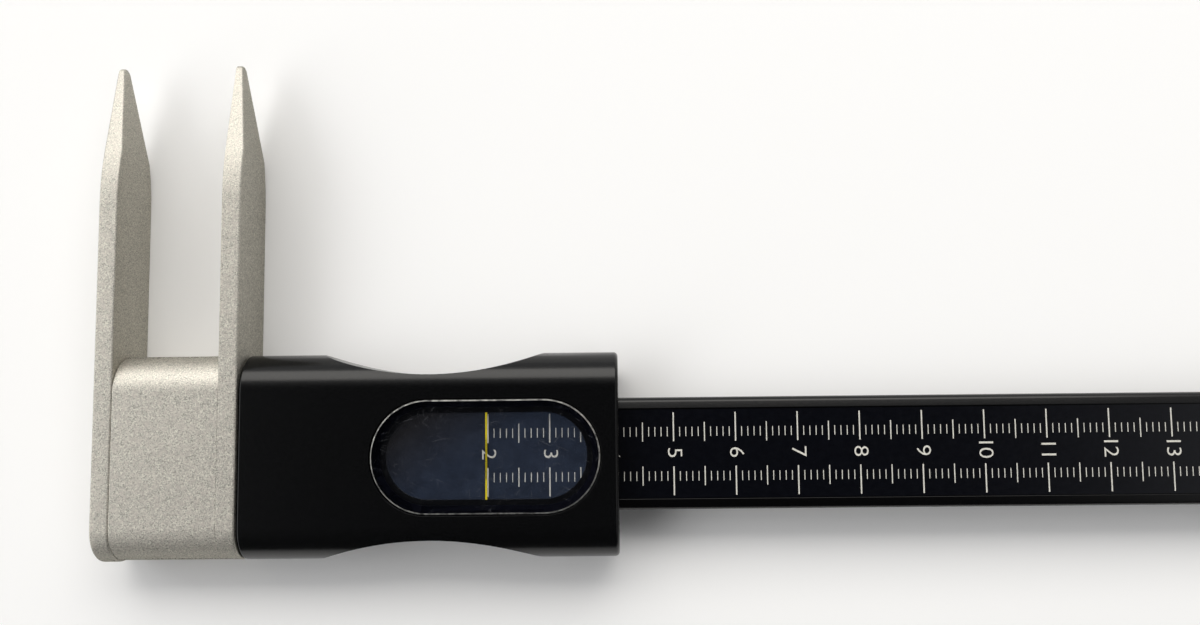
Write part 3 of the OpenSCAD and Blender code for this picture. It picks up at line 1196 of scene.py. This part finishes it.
@dataclass
class Slider(Assembly):
    """Black housing with two finger scallops and a window."""

    x: float = 23.0
    length: float = 60.8
    height: float = 33.0
    thickness: float = 11.5
    end_r: float = 0.65
    lip_r: float = 0.25
    groove: tuple[float, float] = (0.4, 0.75)
    slot: tuple[float, float] = (19.2, 6.2)
    scallop_x: float = 53.6
    scallop_r: float = 50.0
    scallop_depth: float = 3.4
    window_x: float = 62.6
    lens: tuple[float, float] = (36.5, 18.0)
    lens_z: tuple[float, float] = (3.9, 5.7)
    lens_chamfer: float = 0.22
    pocket_gap: float = 0.25
    ledge_z: float = 3.75
    ledge_w: float = 2.1
    ledge_overlap: float = 0.5
    haze_z: tuple[float, float] = (3.7, 3.72)
    haze_gap: float = 0.02
    tension_pitch: float = 35.0
    tension_d: float = 3.0
    round_steps: int = 40
    lens_steps: int = 48
    end_steps: int = 5
    lip_steps: int = 3
    scallop_steps: int = 360
    live_edge: float = 0.1

    def stadium(self, grow: float, low: float, high: float) -> BMesh:
        """Block with round ends, centred on the window.

        Args:
            grow: How far it reaches past the lens all round.
            low: Its lower face.
            high: Its upper face.

        Returns:
            The closed mesh, in millimetres.
        """
        outline = full_round(self.lens[0] + 2 * grow, self.lens[1] + 2 * grow, self.lens_steps)
        bm = outline.solid(Plane.ALONG_Z, low, high - low)
        bmesh.ops.translate(bm, verts=bm.verts[:], vec=(self.window_x, 0.0, 0.0))
        return bm

    def shell(self) -> BMesh:
        """Outer form of the housing, with the narrow shadow gap beside the moving blade.

        Returns:
            The closed mesh, in millimetres.
        """
        width, depth = self.groove
        start = self.x + width
        end = self.x + self.length
        outline = full_round(self.height, self.thickness, self.round_steps)
        bm = outline.solid(Plane.ALONG_X, start, end - start)
        round_edges(bm, self.end_r, self.end_steps, at_plane(0, end))
        round_edges(bm, self.lip_r, self.lip_steps, at_plane(0, start))
        face = min(bm.faces, key=lambda one: one.calc_center_median().x)
        bmesh.ops.inset_region(
            bm, faces=[face], thickness=depth - self.lip_r, depth=0.0, use_boundary=True,
            use_even_offset=True,
        )
        inner = bmesh.ops.extrude_discrete_faces(bm, faces=[face])["faces"][0]
        bmesh.ops.translate(bm, verts=inner.verts[:], vec=(-width, 0.0, 0.0))
        bmesh.ops.recalc_face_normals(bm, faces=bm.faces[:])
        return bm

    def build_housing(self) -> None:
        """Builds the housing."""
        end = self.x + self.length
        cutters = [passage(self.x - PAST_FACE, end + PAST_FACE, self.slot)]
        for side in (-1, 1):
            y = side * (self.height / 2 - self.scallop_depth + self.scallop_r)
            cutters.append(
                round_bar(
                    (self.scallop_x, y, -self.thickness), (self.scallop_x, y, self.thickness),
                    2 * self.scallop_r, 2 * self.scallop_r, self.scallop_steps,
                )
            )
            x = self.scallop_x + side * self.tension_pitch / 2
            low, high = (x, -self.height, 0.0), (x, 0.0, 0.0)
            cutters.append(round_bar(low, high, self.tension_d, self.tension_d))
        cutters.append(self.stadium(self.pocket_gap, self.ledge_z, self.thickness))
        cutters.append(self.stadium(-self.ledge_w, 0.0, self.ledge_z + self.ledge_overlap))
        add_piece(
            "slider_housing_anodised", self.shell(), Body.SLIDER,
            ["slider_housing"], [self.finishes.housing], cutters, self.live_edge,
        )

    def build_lens(self) -> None:
        """Builds the lens with its scuffed chamfer, and the bluish film on its underside."""
        bm = self.stadium(0.0, *self.lens_z)
        for face in round_edges(bm, self.lens_chamfer, 1, at_plane(2, self.lens_z[1])):
            face.material_index = 1
        add_piece(
            "window_lens_acrylic", bm, Body.SLIDER, ["window_lens"],
            [self.finishes.acrylic, self.finishes.frosted],
        )
        haze = self.stadium(-self.ledge_w - self.haze_gap, *self.haze_z)
        add_piece("window_bluish_film", haze, Body.SLIDER, [], [self.finishes.haze])

    def build(self) -> None:
        """Builds the housing and the lens."""
        self.build_housing()
        self.build_lens()


@dataclass
class EndCap(Assembly):
    """Cap on the far end of the beam."""

    x: float = 664.8
    length: float = 9.0
    wall: float = 2.0
    height: float = 24.0
    thickness: float = 11.5
    edges: tuple[float, float] = (0.3, 0.8)
    edge_steps: tuple[int, int] = (2, 4)
    pocket: tuple[float, float] = (18.2, 5.2)
    screw_pitch: float = 10.0
    holes: CountersunkHoles = field(default_factory=CountersunkHoles)

    def build(self) -> None:
        """Builds the cap."""
        end = self.x + self.length
        bm = full_round(self.height, self.thickness).solid(Plane.ALONG_X, self.x, self.length)
        round_edges(bm, self.edges[0], self.edge_steps[0], at_plane(0, self.x))
        round_edges(bm, self.edges[1], self.edge_steps[1], at_plane(0, end))
        hole = passage(self.x - PAST_FACE, end - self.wall, self.pocket)
        places = (-self.screw_pitch / 2, self.screw_pitch / 2)
        add_piece(
            "end_cap_anodised", bm, Body.BEAM, ["end_cap"],
            [self.finishes.housing], [hole] + self.holes.cutters(end, -1, places),
        )


@dataclass
class Fittings(Assembly):
    """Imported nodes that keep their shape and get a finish."""

    def build(self) -> None:
        """Gives each kept node its material."""
        finishes = self.finishes
        choice = {
            "scale_strip": finishes.film,
            "fixed_blade_screws": finishes.stainless,
            "moving_blade_screws": finishes.stainless,
            "head_dowels": finishes.stainless,
            "head_clamp_screws": finishes.blackened,
            "end_cap_screws": finishes.blackened,
            "tension_screws": finishes.blackened,
            "lens_seal": finishes.adhesive,
            "cursor_line": finishes.yellow_ink,
            "upper_liner": finishes.glide,
            "lower_liner": finishes.glide,
            "brake_pad": finishes.glide,
            "brake_spring": finishes.spring,
        }
        for node, material in choice.items():
            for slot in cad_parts[node].material_slots:
                slot.material = material
            LOG.info("%s: %s", node, material.name)


@dataclass(frozen=True)
class Surround:
    """Room that is bright at its sides and beyond the blade tips, and dark straight above."""

    left: float = 3.6
    right: float = 1.5
    back: float = 0.95
    low: float = 0.2
    dark: float = 0.05
    rise: float = 2.0
    left_x: Span = (-0.36, -0.7)
    right_x: Span = (0.34, 0.66)
    left_end: Span = (-0.84, -0.95)
    right_end: Span = (0.66, 0.76)
    back_y: Span = (0.2, 0.6)
    front_y: Span = (-0.45, -0.85)

    def build(self) -> None:
        """Builds the world, whose level depends on the direction alone."""
        world = bpy.data.worlds.new("studio")
        bpy.context.scene.world = world
        world.use_nodes = True
        world.node_tree.nodes.clear()
        nodes = Nodes(world.node_tree, "Generated")
        across, along, _ = nodes.axes(nodes.place)
        left = nodes.math("POWER", nodes.ramp(across, self.left_x), self.rise)
        right = nodes.math("POWER", nodes.ramp(across, self.right_x), self.rise)
        left = nodes.math("MULTIPLY", left, self.left)
        side = nodes.math("MAXIMUM", left, nodes.math("MULTIPLY", right, self.right))
        side = nodes.math("MULTIPLY", side, nodes.ramp(along, self.front_y, (1.0, 0.0)))
        edge = nodes.ramp(across, self.left_end, (1.0, self.low))
        edge = nodes.math("MULTIPLY", edge, nodes.ramp(across, self.right_end, (1.0, self.low)))
        room = nodes.math("MAXIMUM", side, nodes.ramp(along, self.back_y, (0.0, self.back)))
        level = nodes.math("MAXIMUM", nodes.math("MULTIPLY", room, edge), self.dark)
        out = nodes.add("ShaderNodeOutputWorld")
        light = nodes.add("ShaderNodeBackground")
        nodes.join(level, light.inputs["Strength"])
        nodes.join(light.outputs[0], out.inputs["Surface"])


@dataclass
class Studio:
    """Pale floor, soft light and the camera at the photograph's place."""

    rest_z: float = -5.75
    floor_half: float = 3000.0
    floor_colour: Colour = (0.95, 0.95, 0.95)
    floor_roughness: float = 0.9
    surround: Surround = field(default_factory=Surround)
    key_watts: float = 16.0
    key_size: tuple[float, float] = (1.8, 0.8)
    key_place: tuple[float, float, float] = (0.04, 1.08, 0.92)
    key_colour: Colour = (1.0, 0.97, 0.92)
    camera_place: tuple[float, float, float] = (0.08257, 0.01068, 0.15589)
    camera_yaw: float = -0.0101
    camera_pitch: float = 0.0795
    camera_roll: float = -0.0103
    lens_mm: float = 28.3
    sensor_mm: float = 36.0
    clip_m: float = 0.005

    def build_floor(self) -> None:
        """Builds the pale floor that the caliper lies on."""
        bm = bmesh.new()
        bmesh.ops.create_grid(bm, x_segments=1, y_segments=1, size=self.floor_half)
        bmesh.ops.translate(bm, verts=bm.verts[:], vec=(0.0, 0.0, self.rest_z))
        floor = new_object("floor", bm)
        shader = Shader("pale_floor")
        shader.set(Base_Color=(*self.floor_colour, 1.0), Roughness=self.floor_roughness)
        shader.set(Specular_IOR_Level=0.0)
        floor.data.materials.append(shader.material)

    def build_key(self) -> None:
        """Builds the long soft lamp on the side of the blades."""
        data = bpy.data.lights.new("key", "AREA")
        data.shape = "RECTANGLE"
        data.size, data.size_y = self.key_size
        data.energy = self.key_watts
        data.color = self.key_colour
        lamp = bpy.data.objects.new("key", data)
        lamp.location = self.key_place
        target = Vector((self.key_place[0], 0.0, 0.0))
        lamp.rotation_euler = (target - Vector(self.key_place)).to_track_quat("-Z", "Y").to_euler()
        lamp.visible_camera = False
        bpy.context.scene.collection.objects.link(lamp)

    def build_camera(self) -> None:
        """Builds the camera from the fitted place and angles."""
        data = bpy.data.cameras.new("camera")
        data.lens = self.lens_mm
        data.sensor_width = self.sensor_mm
        data.sensor_fit = "HORIZONTAL"
        data.clip_start = self.clip_m
        camera = bpy.data.objects.new("camera", data)
        turn = Matrix.Rotation(-self.camera_yaw, 3, "Y")
        turn = turn @ Matrix.Rotation(self.camera_pitch, 3, "X")
        turn = turn @ Matrix.Rotation(self.camera_roll, 3, "Z")
        camera.location = self.camera_place
        camera.rotation_euler = turn.to_euler()
        bpy.context.scene.collection.objects.link(camera)
        bpy.context.scene.camera = camera

    def build(self) -> None:
        """Builds the floor, the surround, the lamp and the camera."""
        self.build_floor()
        self.surround.build()
        self.build_key()
        self.build_camera()
        bpy.context.scene.view_settings.view_transform = "Standard"


def main() -> None:
    logging.basicConfig(level=logging.INFO, format="%(name)s: %(message)s")
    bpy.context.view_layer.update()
    finishes = Finishes()
    for kind in (ScaleBeam, ScalePrint, HeadBlock, BladePair, Slider, EndCap, Fittings):
        kind(finishes).build()
    Studio().build()
    bpy.context.view_layer.update()
    LOG.info("sizes written")


if __name__ == "__main__":
    main()
